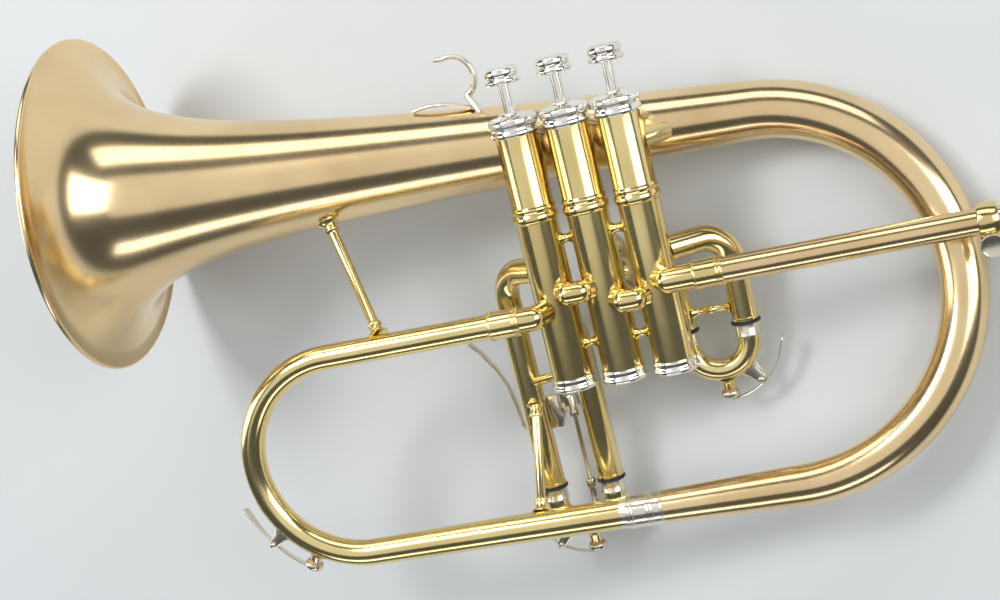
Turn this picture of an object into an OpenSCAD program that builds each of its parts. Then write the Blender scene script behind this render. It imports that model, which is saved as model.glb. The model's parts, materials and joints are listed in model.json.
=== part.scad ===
// A B-flat flugelhorn with three piston valves, lying on its side at rest.
//
// Every module is drawn in the horn's own directions, and lying() then lays it down:
//   x  from the bell towards the mouthpiece
//   y  from the player's left side of the horn to its right side
//   z  along the valves, up towards the finger buttons
// The zero point is on the middle valve's axis, at the widest ring of its bottom cap.
// Lying down, +X still runs to the mouthpiece, +Y runs to the buttons and +Z is up.
// Angles round a valve are counted from the side facing -y, positive towards +x.

/* [Valves] */
// Distance between neighbouring valve axes
valve_pitch = 23; // [23:0.1:23.4]
// Outer radius of a valve casing
casing_r = 9.4; // [9.3:0.05:9.4]
// Radius of the polished bore that the piston runs in
casing_bore_r = 8.55; // [8.5:0.01:8.6]
// Running clearance round each piston
piston_gap = 0.05; // [0.02:0.01:0.1]
// How far each button travels
valve_stroke = 12.8; // [11:0.1:12.8]
// Radius of a valve stem
stem_r = 2.5; // [2:0.1:2.6]
// Radius of a finger button
button_r = 8; // [6.5:0.1:8.5]

/* [Bell] */
// Radius of the bell at its rim
bell_rim_r = 78; // [74:0.5:80]
// Thickness of the bell's sheet
bell_wall = 0.5; // [0.4:0.05:0.8]
// Upward slant of the bell from the valves to the rim
bell_tilt = 3.77; // [3:0.01:4.5]
// Distance from the rim to the start of the main bow's bend, along the bell's axis
bell_length = 310.7; // [300:0.1:315]

/* [Tubing] */
// Radius of the bore through the valve slides
bore_r = 4.95; // [4.8:0.05:5]
// Outer radius of the inner slide tubes
inner_tube_r = 5.3; // [5.2:0.01:5.3]
// Outer radius of the outer slide tubes
sleeve_r = 5.75; // [5.7:0.01:5.8]
// Running clearance round an inner slide tube
slide_gap = 0.04; // [0.02:0.01:0.08]
// Wall of the two tapered bows
bow_wall = 0.55; // [0.5:0.05:0.8]

/* [Rest pose] */
// Roll of the horn about its length as it lies on its bell rim and second slide
rest_roll = 10.43; // [0:0.01:20]
// Lift of the bell's end as the horn lies on its rim and main bow
rest_pitch = 10.18; // [0:0.01:20]
// Place of the horn's zero point over the middle of its footprint
rest_shift = [10.17, -60.55, 41.65];

/* [Hidden] */
$fn = 48;

rose_brass = "#dcb877";
yellow_brass = "#d8bd5a";
nickel = "#d9d9d4";
nickel_silver = "#c9c3b2";
cork_brown = "#c99b5e";
rubber_black = "#151515";
felt_white = "#e9e6dc";
steel = "#a8a8aa";

// The thin gap between solids that are soldered together, and their least overlap within one piece
hair = 0.02;

// --- valves, by number: 1 is nearest the mouthpiece
valve_x = [valve_pitch, 0, -valve_pitch];
casing_bottom = 1.4;
casing_top = 118.4;
guide_z = 79;
guide_h = 3;
piston_bottom = 14;
piston_top = 75;
barrel_top = 109;
barrel_r_in = 6.2;
piston_r = casing_bore_r - piston_gap;
passage_r = 3.9;
button_bottom = 137;
felt_top = button_bottom - valve_stroke;
// Each port is [angle, height]; a valve's ports are in, out, slide out, slide back

// --- planes and places of the tubing
front_y = -16;
slide_y = 16.4;
bell_y = 28;
inlet_z = 41.8;
outlet_z = 36.3;
lower_z = -57.3;
elbow_x = valve_pitch + 7.6;
bow_x = 68.5;
bow_lean = atan((bell_y - front_y) / 157.3);
bow_up = [0, sin(bow_lean), cos(bow_lean)];
bow_R = (bell_y - front_y) / sin(bow_lean) / (1 + cos(bell_tilt));
bow_centre = [bow_x, front_y, lower_z] + bow_R * bow_up;
bow_start = bow_centre + bow_R * (sin(bell_tilt) * [1, 0, 0] + cos(bell_tilt) * bow_up);
bell_dir = [cos(bell_tilt), 0, -sin(bell_tilt)];
rim_centre = bow_start - bell_length * bell_dir;
bell_end = 248;
small_R = (outlet_z - lower_z) / 2;
small_centre = [-128.7, front_y, (outlet_z + lower_z) / 2];
ferrule_x = [-12.3, 7];

// --- slides: left and right leg, height of the crook's centre, height of the rings
first_legs = [26.9, 54.6];
first_crook_z = 4.4;
first_ring_z = 10.8;
third_legs = [-48.6, -21.2];
third_crook_z = -56.8;
third_ring_z = -50.4;
elbow_R = 13;
knuckle_R = 6;
crook_r = 4.95;
second_legs = [30, 52];
second_sleeve_end = 24;
second_crook_y = 34;

// Each port is [angle, height]; a valve's ports are in, out, slide out, slide back
function leg_angle(i, leg_x) = atan2(leg_x - valve_x[i], -slide_y);
ports_1 = [[25.4, inlet_z], [-36, 35.6], [leg_angle(0, first_legs[1]), 51.6],
    [leg_angle(0, first_legs[0]), 31]];
ports_2 = [[36, 35.6], [-36, 43.1], [180, second_legs[0]], [180, second_legs[1]]];
ports_3 = [[36, 43.1], [-25.1, outlet_z], [leg_angle(2, third_legs[0]), 53],
    [leg_angle(2, third_legs[1]), 22]];
ports = [ports_1, ports_2, ports_3];

// --- water keys: [centre x, centre z, y, cup, pivot and tip angles, tube surface, lever's radius,
//     pivot's radius, nipple's height]
bow_key_at = [small_centre[0], small_centre[2], front_y, 237, 216.5, 196, 52.6, 59.6, 59, 3.4];
first_key_at = [(first_legs[0] + first_legs[1]) / 2, first_crook_z, slide_y,
    271, 307, 354, 18.8, 28, 25.6, 4.6];
third_key_at = [(third_legs[0] + third_legs[1]) / 2, third_crook_z, slide_y,
    270, 233, 200, 18.65, 28, 26.6, 4.6];
key_w = 3.4;
key_t = 1.1;
cork_h = 2.2;
cup_h = 3.4;

// --- trigger of the third slide: its pivot, its short arm and the rod down to the crook
trigger_pivot = [-41, slide_y + 9.5, -19.5];
trigger_arm = 11.7;
trigger_arm_angle = 50.2;
trigger_pin_r = 1.2;
link_pin_r = 0.8;
rod_x = -31;

// ============================ helpers ============================
function unit(v) = v / norm(v);
function around(a) = [sin(a), -cos(a), 0];

module lying() {
    translate(rest_shift) rotate([rest_roll, rest_pitch, 0]) rotate([-90, 0, 0]) children();
}

module lathe(outline) { rotate_extrude() polygon(outline); }

module pipe(r_out, r_in, h) {
    difference() {
        cylinder(r = r_out, h = h);
        translate([0, 0, -1]) cylinder(r = r_in, h = h + 2);
    }
}

module along_x() { rotate([0, 90, 0]) children(); }

// A rod between two points, with one radius at each end
module rod(p, q, r, r2) {
    d = q - p;
    translate(p) rotate([0, acos(d[2] / norm(d)), atan2(d[1], d[0])])
        cylinder(r1 = r, r2 = is_undef(r2) ? r : r2, h = norm(d));
}

// A cylinder that leaves the axis of valve i at an angle and a height
module from_valve(i, a, z, r, from, to) {
    translate([valve_x[i], 0, z]) rotate([0, 0, a]) rotate([90, 0, 0])
        translate([0, 0, from]) cylinder(r = r, h = to - from);
}

// Closed ring of points round p, in the plane across the direction t
function ring_at(p, t, n, a, b, sides) = let (u = unit(cross(t, n)), v = unit(cross(u, t)))
    [for (k = [0:sides - 1]) p + a * cos(360 * k / sides) * u + b * sin(360 * k / sides) * v];
function path_dir(path, i) = unit(path[min(i + 1, len(path) - 1)] - path[max(i - 1, 0)]);
function flat(rings) = [for (r = rings) each r];

// Side faces between the rings numbered from first on, turned inside out if inner is true
function skin(first, count, sides, inner) = [for (i = [0:count - 2], k = [0:sides - 1])
    let (a = first + i * sides + k, b = first + i * sides + (k + 1) % sides)
    inner ? [a, a + sides, b + sides, b] : [a, b, b + sides, a + sides]];

// A solid swept along a path, with half width a[i] and half thickness b[i]; n is across the path
module swept_solid(path, n, a, b, sides) {
    count = len(path);
    rings = [for (i = [0:count - 1]) ring_at(path[i], path_dir(path, i), n, a[i], b[i], sides)];
    polyhedron(flat(rings), concat(skin(0, count, sides, false),
        [[for (k = [sides - 1:-1:0]) k]],
        [[for (k = [0:sides - 1]) (count - 1) * sides + k]]), convexity = 4);
}

// A hollow tube swept along a path, with outer radius r[i] and a constant wall
module swept_tube(path, n, r, wall, sides) {
    count = len(path);
    outer = [for (i = [0:count - 1]) ring_at(path[i], path_dir(path, i), n, r[i], r[i], sides)];
    inner = [for (i = [0:count - 1])
        ring_at(path[i], path_dir(path, i), n, r[i] - wall, r[i] - wall, sides)];
    far = count * sides;
    last = (count - 1) * sides;
    polyhedron(concat(flat(outer), flat(inner)), concat(
        skin(0, count, sides, false), skin(far, count, sides, true),
        [for (k = [0:sides - 1]) let (j = (k + 1) % sides) [k, far + k, far + j, j]],
        [for (k = [0:sides - 1]) let (j = (k + 1) % sides)
            [last + k, last + j, far + last + j, far + last + k]]), convexity = 6);
}

function arc_len(path) = [for (i = 0, s = 0; i < len(path);
    s = s + (i + 1 < len(path) ? norm(path[i + 1] - path[i]) : 0), i = i + 1) s];

// ============================ bell and bows ============================
// Outer radius of the bell at a distance s from the rim
function bell_r(s) = (bell_rim_r - 7) / 71 * 192.5 * pow(s + 8.48, -0.467) + 7 * (1 - s / 310);

// The inner face lies one wall inside the outer one, square to the slope of the flare
function bell_inside(s) = let (slope = (bell_r(s + 0.1) - bell_r(s)) / 0.1, k = norm([1, slope]))
    [bell_r(s) - bell_wall / k, s + bell_wall * slope / k];

module at_bell() { translate(rim_centre) rotate([0, 90 + bell_tilt, 0]) children(); }

rim_bead_r = 1.35;
sheet_start = 0.3;
bell_steps = 44;
module bell() {
    s_at = [for (i = [0:bell_steps]) sheet_start + (bell_end - sheet_start) * pow(i / bell_steps, 1.9)];
    color(rose_brass) at_bell() rotate_extrude() {
        polygon(concat([for (s = s_at) [bell_r(s), s]],
            [for (i = [bell_steps:-1:0]) bell_inside(s_at[i])]));
        translate([bell_rim_r - 0.2, 0.2]) difference() {
            circle(r = rim_bead_r);
            circle(r = rim_bead_r - 0.45);
        }
    }
}

module bell_wire() {
    color(steel) at_bell() rotate_extrude()
        translate([bell_rim_r - 0.2, 0.2]) circle(r = rim_bead_r - 0.45 - hair);
}

module bell_ferrule() {
    r = bell_r(bell_end - 7) + hair;
    color(rose_brass) at_bell() translate([0, 0, bell_end - 7]) lathe([
        [r, 0], [r + 0.9, 0], [r + 0.9, 1.2], [r + 0.45, 1.4], [r + 0.45, 12.6],
        [r + 0.9, 12.8], [r + 0.9, 14], [r, 14]]);
}

bow_straight_steps = 6;
bow_arc_steps = 32;
module main_bow() {
    path = concat(
        [for (i = [0:bow_straight_steps - 1])
            rim_centre + (bell_end + hair + (bell_length - bell_end) * i / bow_straight_steps) * bell_dir],
        [for (i = [0:bow_arc_steps]) let (a = 90 - bell_tilt - (180 - bell_tilt) * i / bow_arc_steps)
            bow_centre + bow_R * (cos(a) * [1, 0, 0] + sin(a) * bow_up)],
        [for (i = [1:bow_straight_steps])
            [bow_x + (ferrule_x[1] + hair - bow_x) * i / bow_straight_steps, front_y, lower_z]]);
    taper = [[0, bell_r(bell_end)], [63, bell_r(bell_length)], [110, 12.1], [150, 11.2],
        [200, 10.2], [250, 9.8], [300, 9.4], [335, 8.6], [376, 7.45]];
    across = cross([1, 0, 0], bow_up);
    color(rose_brass)
        swept_tube(path, across, [for (s = arc_len(path)) lookup(s, taper)], bow_wall, 24);
}

small_steps = 10;
small_arc_steps = 30;
module small_bow() {
    x_in = -45;
    x_out = -3;
    path = concat(
        [for (i = [0:small_steps - 1])
            [x_in + (small_centre[0] - x_in) * i / small_steps, front_y, outlet_z]],
        [for (i = [0:small_arc_steps]) let (a = 90 + 180 * i / small_arc_steps)
            small_centre + small_R * [cos(a), 0, sin(a)]],
        [for (i = [1:small_steps])
            [small_centre[0] + (x_out - small_centre[0]) * i / small_steps, front_y, lower_z]]);
    taper = [[0, 5.45], [84, 5.65], [158, 5.75], [232, 6.15], [255, 6.3], [325, 6.8], [358, 6.9]];
    color(yellow_brass)
        swept_tube(path, [0, 1, 0], [for (s = arc_len(path)) lookup(s, taper)], bow_wall, 24);
}

module ring_bead(r, x, h) { translate([0, 0, x]) lathe([[r - 0.2, 0], [r + 0.45, 0.25 * h],
    [r + 0.45, 0.75 * h], [r - 0.2, h]]); }

module bow_ferrule() {
    r = 7.35;
    length = ferrule_x[1] - ferrule_x[0];
    color(nickel_silver) translate([ferrule_x[0], front_y, lower_z]) along_x() {
        pipe(r, 6.9 + hair, length);
        for (x = [3.1, 4.8, 12, 13.7, length - 1.2]) difference() {
            ring_bead(r, x, 1.2);
            translate([0, 0, x - 1]) cylinder(r = r - 0.1, h = 4);
        }
    }
}

// ============================ leadpipe and outlet ============================
ferrule_r = 6.2;
module ferrule(length, single, doubles) {
    pipe(ferrule_r, sleeve_r + hair, length);
    for (x = concat(single, doubles)) difference() {
        ring_bead(ferrule_r, x, 1.1);
        translate([0, 0, x - 1]) cylinder(r = ferrule_r - 0.1, h = 3);
    }
}

module inlet_ferrule() {
    color(yellow_brass) translate([42, front_y, inlet_z]) along_x() ferrule(13, [0.1], [10, 11.6]);
}

module outlet_ferrule() {
    color(yellow_brass) translate([-50.5, front_y, outlet_z]) along_x() ferrule(14, [0.1], [11, 12.6]);
}

// A short knuckle out of a casing's front that turns along x and ends under a ferrule
module front_elbow(i, port, dome_x, end_x) {
    a = port[0];
    z = port[1];
    reach = norm([dome_x - valve_x[i], front_y]);
    way = end_x > dome_x ? 90 : -90;
    length = abs(end_x - dome_x);
    difference() {
        union() {
            from_valve(i, a, z, 5.4, 0, reach);
            translate([dome_x, front_y, z]) sphere(r = 5.45);
            translate([dome_x, front_y, z]) rotate([0, way, 0]) cylinder(r = 5.5, h = length);
        }
        from_valve(i, a, z, bore_r - 0.2, -1, reach);
        translate([dome_x, front_y, z]) sphere(r = bore_r - 0.1);
        translate([dome_x, front_y, z]) rotate([0, way, 0]) cylinder(r = bore_r, h = length + 1);
        translate([valve_x[i], 0, z - 20]) cylinder(r = casing_r + hair, h = 40);
    }
}

module inlet_elbow() { color(yellow_brass) front_elbow(0, ports_1[0], elbow_x, 47); }
module outlet_elbow() { color(yellow_brass) front_elbow(2, ports_3[1], -elbow_x, -44.9); }

leadpipe_end = 168;
module leadpipe_sleeve() {
    color(rose_brass) translate([47 + hair, front_y, inlet_z]) along_x()
        pipe(sleeve_r - 0.1, inner_tube_r - 0.1, leadpipe_end - 47);
}

receiver_x = 204;
receiver_end = 228;
tuning_pipe_r = inner_tube_r - 0.1 - slide_gap;
module tuning_pipe() {
    color(nickel_silver) translate([70, front_y, inlet_z]) along_x() difference() {
        cylinder(r = tuning_pipe_r, h = receiver_x + 2 - 70);
        translate([0, 0, -1]) cylinder(r1 = 4.85, r2 = 4.5, h = receiver_x + 4 - 70);
    }
}

receiver_bore_r = 4.85;
receiver_depth = 20;
module mouthpiece_receiver() {
    h = receiver_end - receiver_x;
    color(rose_brass) translate([receiver_x, front_y, inlet_z]) along_x() difference() {
        lathe([[0, 0], [5.9, 0], [6.4, 0.8], [5.9, 1.6], [5.8, 4], [6.3, h - 6], [6.5, h - 3.5],
            [7.1, h - 3], [7.1, h - 0.6], [6.8, h], [0, h]]);
        translate([0, 0, -1]) cylinder(r = tuning_pipe_r + hair, h = 3 + hair);
        translate([0, 0, 1]) cylinder(r = 4.4, h = h);
        translate([0, 0, h - receiver_depth]) cylinder(r = receiver_bore_r, h = receiver_depth + 1);
    }
}

collar_x = 160;
collar_w = 8.5;
screw_z = -9.4;
module clamp_collar() {
    color(yellow_brass) translate([collar_x, front_y, inlet_z]) difference() {
        union() {
            along_x() lathe([[sleeve_r - 0.1 + hair, 0], [7.2, 0], [7.6, 0.6], [7.6, collar_w - 0.6],
                [7.2, collar_w], [sleeve_r - 0.1 + hair, collar_w]]);
            translate([0.8, -4.2, -13]) cube([collar_w - 1.6, 8.4, 6.6]);
        }
        along_x() translate([0, 0, -1]) cylinder(r = sleeve_r - 0.1 + hair, h = collar_w + 2);
        translate([-1, -0.5, -14]) cube([collar_w + 2, 1, 12]);
        translate([collar_w / 2, 10, screw_z]) rotate([90, 0, 0]) cylinder(r = 1.55, h = 20);
    }
}

module clamp_screw() {
    head = 4.7;
    color(nickel_silver) translate([collar_x + collar_w / 2, front_y, inlet_z + screw_z])
        rotate([90, 0, 0]) lathe([[0, -5.6], [1.5, -5.6], [1.5, 4.3], [2.2, 4.3], [2.2, 5],
            [head, 6], [head + 0.3, 6.8], [head, 7.6], [2.6, 7], [0, 7.2]]);
}

// ============================ valves ============================
module casing(i) {
    bead = [[guide_z - 3.4, casing_r], [guide_z - 2.9, casing_r + 0.75], [guide_z - 0.5, casing_r + 0.9],
        [guide_z + 1.5, casing_r + 0.2], [guide_z + 2.3, casing_r + 0.6], [guide_z + 3.5, casing_r + 0.5],
        [guide_z + 4, casing_r]];
    color(yellow_brass) translate([valve_x[i], 0, 0]) difference() {
        union() {
            lathe(concat([[0, casing_bottom], [casing_r, casing_bottom]],
                [for (b = bead) [b[1], b[0]]], [[casing_r, casing_top], [0, casing_top]]));
        }
        translate([0, 0, casing_bottom - 1])
            cylinder(r = casing_bore_r, h = casing_top - casing_bottom + 2);
        for (p = ports[i]) translate([0, 0, p[1]]) rotate([0, 0, p[0]]) rotate([90, 0, 0])
            translate([0, 0, 5]) cylinder(r = bore_r - 0.3, h = 8);
    }
}
module casing_1() { casing(0); }
module casing_2() { casing(1); }
module casing_3() { casing(2); }

// A passage through a piston between two ports, bending at an inner point
module passage(p, q, inner, knee_r) {
    for (port = [p, q]) {
        start = port[2] * around(port[0]) + [0, 0, port[1]];
        rod(inner, start, passage_r);
    }
    translate(inner) sphere(r = knee_r);
}

module piston(i) {
    p = ports[i];
    reach = casing_bore_r + 2;
    in = p[0];
    out = p[1];
    // at rest the air goes straight on; pressed, it goes out by one slide port and back by the other
    far = i == 2 ? p[3] : p[2];
    near = i == 2 ? p[2] : p[3];
    knee_r = passage_r + (i < 2 ? 0.05 : 0.2);
    inset = i == 0 ? 2 : 2.5;
    color(nickel) translate([valve_x[i], 0, 0]) difference() {
        union() {
            translate([0, 0, piston_bottom]) cylinder(r = piston_r, h = piston_top - piston_bottom);
            translate([0, 0, piston_top - 1]) cylinder(r = piston_r, h = barrel_top - piston_top + 1);
        }
        // the spring barrel, with two slots that run past the fixed guide
        translate([0, 0, piston_top + 2]) cylinder(r = barrel_r_in, h = barrel_top - piston_top - 5);
        translate([-1.7, -12, guide_z - 0.3]) cube([3.4, 24, valve_stroke + guide_h + 0.9]);
        translate([0, 0, barrel_top - 4]) cylinder(r = 2 + hair, h = 6);
        // the three passages
        passage([in[0], in[1], reach], [out[0], out[1], reach],
            3.6 * around((in[0] + out[0]) / 2) + [0, 0, (in[1] + out[1]) / 2], knee_r);
        passage([in[0], in[1] + valve_stroke, reach], [far[0], far[1] + valve_stroke, reach],
            inset * around((in[0] + far[0]) / 2) + [0, 0, (in[1] + far[1]) / 2 + valve_stroke], knee_r);
        passage([out[0], out[1] + valve_stroke, reach], [near[0], near[1] + valve_stroke, reach],
            inset * around(out[0] + 180) + [0, 0, (out[1] + near[1]) / 2 + valve_stroke - 2], knee_r);
    }
}
module piston_1() { piston(0); }
module piston_2() { piston(1); }
module piston_3() { piston(2); }

module stem(i) {
    color(nickel) translate([valve_x[i], 0, 0]) lathe([
        [0, barrel_top - 4 + hair], [2, barrel_top - 4 + hair], [2, barrel_top + hair],
        [4.2, barrel_top + hair], [4.2, barrel_top + 1.6], [stem_r, barrel_top + 2.2], [stem_r, button_bottom - hair],
        [1.6, button_bottom - hair], [1.6, button_bottom + 3], [0, button_bottom + 3]]);
}
module stem_1() { stem(0); }
module stem_2() { stem(1); }
module stem_3() { stem(2); }

module button(i) {
    r = button_r;
    color(nickel) translate([valve_x[i], 0, button_bottom]) lathe([
        [1.6 + hair, 0], [r - 0.9, 0], [r - 0.1, 0.5], [r, 1.4], [r - 0.4, 2.3], [r - 1.1, 2.7],
        [r - 1.1, 3.1], [r - 0.6, 3.5], [r - 0.5, 5.9], [r - 1, 6.7], [r - 1.8, 6.9],
        [r - 2.6, 6.2], [0, 5.7], [0, 3 + hair], [1.6 + hair, 3 + hair]]);
}
module button_1() { button(0); }
module button_2() { button(1); }
module button_3() { button(2); }

// The guides stay in the casings; two lugs on each reach through the barrel's slots
module valve_guides() {
    color(felt_white) for (x = valve_x) translate([x, 0, guide_z]) difference() {
        union() {
            cylinder(r = barrel_r_in - 0.3, h = guide_h);
            intersection() {
                translate([-1.45, -casing_bore_r, 0]) cube([2.9, 2 * casing_bore_r, guide_h]);
                cylinder(r = casing_bore_r - hair, h = guide_h);
            }
        }
        translate([0, 0, -1]) cylinder(r = 2.5, h = guide_h + 2);
    }
}

spring_turns = 6;
spring_steps = 14;
module valve_springs() {
    z0 = guide_z + guide_h + 0.5;
    rise = barrel_top - 3 - z0 - 0.5;
    count = spring_turns * spring_steps;
    wire = 0.4;
    for (x = valve_x) {
        path = [for (i = [0:count]) let (a = 360 * i / spring_steps)
            [x + 5 * cos(a), 5 * sin(a), z0 + rise * i / count]];
        color(steel) swept_solid(path, [0, 0, 1], [for (p = path) wire], [for (p = path) wire], 6);
    }
}

module top_caps() {
    color(nickel) for (x = valve_x) translate([x, 0, 0]) difference() {
        lathe([[0, 114.2], [10.1, 114.2], [10.4, 114.7], [10.4, 116.2], [9.9, 116.8], [9.9, 117.8],
            [10.8, 118.3], [11.1, 118.9], [11.1, 121.1], [10.8, 121.7], [10, 122.1], [9.2, 122.7],
            [6.2, 123.1], [5.6, felt_top - 0.8], [5.2, felt_top - 0.2], [0, felt_top - 0.2]]);
        translate([0, 0, 113]) cylinder(r = casing_r + hair, h = casing_top + hair - 113);
        translate([0, 0, 117]) cylinder(r = 7.6, h = 3.6);
        translate([0, 0, 113]) cylinder(r = stem_r + 0.3, h = 20);
        translate([0, 0, felt_top - 1]) cylinder(r = 4.7, h = 3);
    }
}

module cap_felts() {
    color(felt_white) for (x = valve_x) translate([x, 0, felt_top - 1 + hair])
        pipe(4.6, stem_r + 0.3, 0.9);
}

module bottom_caps() {
    color(nickel) for (x = valve_x) translate([x, 0, 0]) difference() {
        lathe([[0, -1.9], [5.5, -1.9], [9.2, -1.6], [10.2, -1.2], [10.6, -0.4], [10.6, 0.5], [10.2, 1.1],
            [9.9, 1.5], [9.9, 4], [9.7, 4.4], [0, 4.4]]);
        translate([0, 0, casing_bottom - hair]) cylinder(r = casing_r + hair, h = 10);
        translate([0, 0, 0.1]) cylinder(r = casing_bore_r, h = 10);
        translate([0, 0, -3]) cylinder(r = 1.6, h = 10);
    }
}

module crossover(x, z) {
    half = 2.4;
    y = -11.2;
    difference() {
        union() {
            for (s = [-1, 1]) {
                translate([x + s * half, y, z]) sphere(r = 5.05);
                rod([x + s * valve_pitch / 2, 0, z], [x + s * half, y, z], 5);
            }
            translate([x - half, y, z]) along_x() cylinder(r = 5, h = 2 * half);
        }
        for (s = [-1, 1]) {
            translate([x + s * valve_pitch / 2, 0, z - 10]) cylinder(r = casing_r + hair, h = 20);
            rod([x + s * valve_pitch / 2, 0, z], [x + s * half, y, z], 4.3);
            translate([x + s * half, y, z]) sphere(r = 4.35);
        }
        translate([x - half, y, z]) along_x() cylinder(r = 4.3, h = 2 * half);
    }
}

module crossovers() {
    color(yellow_brass) {
        crossover(valve_pitch / 2, ports_1[1][1]);
        crossover(-valve_pitch / 2, ports_2[1][1]);
    }
}

module casing_spacers() {
    color(yellow_brass) for (x = [-valve_pitch / 2, valve_pitch / 2], z = [17.9, 65.6]) difference() {
        translate([x, 0, z]) along_x() lathe([[0, -5], [3.7, -5], [3.4, -2.6], [2, -1.2], [1.8, 0],
            [2, 1.2], [3.4, 2.6], [3.7, 5], [0, 5]]);
        for (s = [-1, 1]) translate([x + s * valve_pitch / 2, 0, z - 5])
            cylinder(r = casing_r + hair, h = 10);
    }
}

// ============================ valve slides ============================
// An outer leg of a side slide: a stub out of casing i, an elbow and a sleeve down to end_z.
// The straight lengths are a shade wider than the elbow and lap over its ends.
lap = 1;
module quarter_bend(r, R) { rotate([90, 0, 0]) rotate_extrude(angle = 90) translate([R, 0]) circle(r = r); }
module outer_leg(i, z, leg_x, end_z, R) {
    reach = norm([leg_x - valve_x[i], slide_y]);
    a = leg_angle(i, leg_x);
    bend_end = z - R;
    difference() {
        union() {
            from_valve(i, a, z, sleeve_r, 0, reach - R + lap);
            bend_at(i, a, reach - R, bend_end) quarter_bend(sleeve_r - 0.15, R);
            translate([leg_x, slide_y, end_z]) cylinder(r = sleeve_r, h = bend_end + lap - end_z);
        }
        from_valve(i, a, z, bore_r, -1, reach - R + lap);
        bend_at(i, a, reach - R, bend_end) quarter_bend(bore_r - 0.15, R);
        translate([leg_x, slide_y, bend_end - 4]) cylinder(r = bore_r, h = 4 + lap);
        translate([leg_x, slide_y, end_z - 1])
            cylinder(r = inner_tube_r + slide_gap, h = bend_end - 2 - end_z);
        translate([valve_x[i], 0, z - 30]) cylinder(r = casing_r + hair, h = 60);
    }
}
module bend_at(i, a, out, z) {
    translate([valve_x[i], 0, z]) rotate([0, 0, a - 90]) translate([out, 0, 0]) children();
}

module leg_brace(x1, x2, z) {
    difference() {
        translate([x1, slide_y, z]) along_x() lathe([[0, 0], [3.6, 0], [3.3, sleeve_r + 0.6],
            [1.7, sleeve_r + 1.6], [1.7, x2 - x1 - sleeve_r - 1.6], [3.3, x2 - x1 - sleeve_r - 0.6],
            [3.6, x2 - x1], [0, x2 - x1]]);
        for (x = [x1, x2]) translate([x, slide_y, z - 6]) cylinder(r = sleeve_r - 0.1, h = 12);
    }
}

sleeve_lift = 1.2;
module first_sleeves() {
    color(yellow_brass) {
        outer_leg(0, ports_1[2][1], first_legs[1], first_ring_z + sleeve_lift, elbow_R);
        outer_leg(0, ports_1[3][1], first_legs[0], first_ring_z + sleeve_lift, knuckle_R);
        leg_brace(first_legs[0], first_legs[1], 18.5);
    }
}

module third_sleeves() {
    color(yellow_brass) {
        outer_leg(2, ports_3[2][1], third_legs[0], third_ring_z + sleeve_lift, elbow_R);
        outer_leg(2, ports_3[3][1], third_legs[1], third_ring_z + sleeve_lift, knuckle_R);
    }
}

// Inner tubes of a side slide, with the plain sockets that the crook is soldered into
module slide_tubes(legs, crook_z, ring_z, tops) {
    color(nickel_silver) for (k = [0, 1]) translate([legs[k], slide_y, 0]) difference() {
        union() {
            translate([0, 0, crook_z]) cylinder(r = inner_tube_r, h = tops[k] - crook_z);
            translate([0, 0, crook_z]) lathe([[0, 0], [5.35, 0], [5.75, 0.3], [5.75, 1], [5.5, 1.3],
                [5.5, ring_z - 0.9 - crook_z], [0, ring_z - 0.9 - crook_z]]);
        }
        translate([0, 0, crook_z - 1]) cylinder(r = bore_r, h = tops[k] - crook_z + 2);
    }
}

module slide_crook(legs, crook_z) {
    R = (legs[1] - legs[0]) / 2;
    translate([(legs[0] + legs[1]) / 2, slide_y, crook_z - hair]) rotate([90, 0, 0])
        rotate([0, 0, 180]) rotate_extrude(angle = 180) translate([R, 0]) difference() {
            circle(r = crook_r);
            circle(r = crook_r - 0.5);
        }
}

module slide_rings(legs, ring_z) {
    color(rubber_black) for (x = legs) translate([x, slide_y, ring_z]) rotate_extrude()
        translate([inner_tube_r + 0.72, 0]) circle(r = 0.7, $fn = 24);
}

module first_slide_tubes() { slide_tubes(first_legs, first_crook_z, first_ring_z, [20, 34]); }
module first_slide_crook() {
    color(yellow_brass) { slide_crook(first_legs, first_crook_z); key_saddle(first_key_at); }
}
module first_slide_rings() { slide_rings(first_legs, first_ring_z); }
module third_slide_tubes() { slide_tubes(third_legs, third_crook_z, third_ring_z, [30, 10]); }
module third_slide_crook() {
    color(yellow_brass) { slide_crook(third_legs, third_crook_z); key_saddle(third_key_at); }
}
module third_slide_rings() { slide_rings(third_legs, third_ring_z); }

module second_sleeves() {
    color(yellow_brass) for (z = second_legs) difference() {
        union() {
            from_valve(1, 180, z, sleeve_r, 0, second_sleeve_end);
            from_valve(1, 180, z, sleeve_r + 0.5, second_sleeve_end - 2, second_sleeve_end);
        }
        from_valve(1, 180, z, bore_r, -1, second_sleeve_end);
        from_valve(1, 180, z, inner_tube_r + slide_gap, casing_r + 3, second_sleeve_end + 1);
        translate([0, 0, z - 10]) cylinder(r = casing_r + hair, h = 20);
    }
}

module second_slide() {
    R = (second_legs[1] - second_legs[0]) / 2;
    mid = (second_legs[0] + second_legs[1]) / 2;
    color(yellow_brass) {
        for (z = second_legs) difference() {
            union() {
                from_valve(1, 180, z, inner_tube_r, casing_r + 3.6, second_crook_y);
                from_valve(1, 180, z, inner_tube_r + 0.5, second_sleeve_end + 0.4, second_crook_y);
            }
            from_valve(1, 180, z, bore_r, casing_r, second_crook_y + 1);
        }
        translate([0, second_crook_y - hair, mid]) rotate([0, 90, 0]) rotate_extrude(angle = 180)
            translate([R, 0]) difference() {
                circle(r = crook_r + 0.3);
                circle(r = crook_r - 0.3);
            }
    }
}

// ============================ water keys ============================
module at_key(k) { translate([k[0], k[2], k[1]]) rotate([90, 0, 0]) children(); }

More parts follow.
